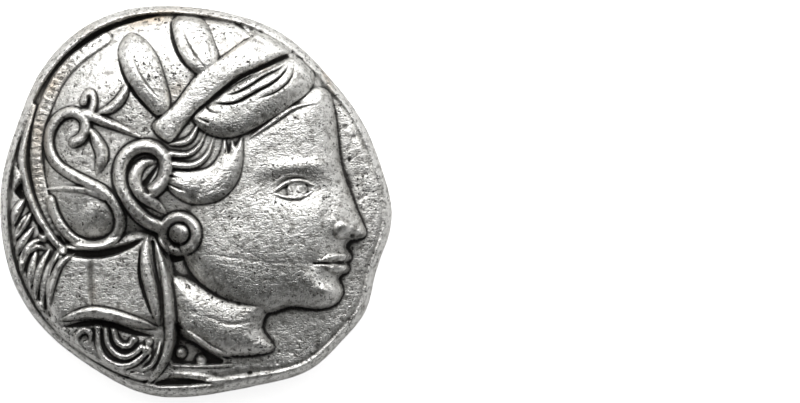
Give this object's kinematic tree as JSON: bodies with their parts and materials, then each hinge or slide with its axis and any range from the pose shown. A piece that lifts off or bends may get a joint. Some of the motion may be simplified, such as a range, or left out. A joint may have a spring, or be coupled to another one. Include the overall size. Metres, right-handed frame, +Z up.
{
  "type": "tetradrachm coin",
  "caption": "Thick struck silver coin with an irregular hammered edge, a helmeted head in high relief on top and an owl in a hollow field underneath.",
  "frame": {"origin": "centre of the bounding box's bottom face, on the surface that the coin lies on", "axes": "+Z up, out of the head side; +Y towards the top of the head; +X the way the head faces"},
  "size_m": [0.024, 0.024, 0.0059],
  "materials": {
    "silver": "worn struck silver, satin on the high relief, darker and toned in the recesses"
  },
  "bodies": {
    "root": {"coin": "silver"}
  },
  "joints": []
}
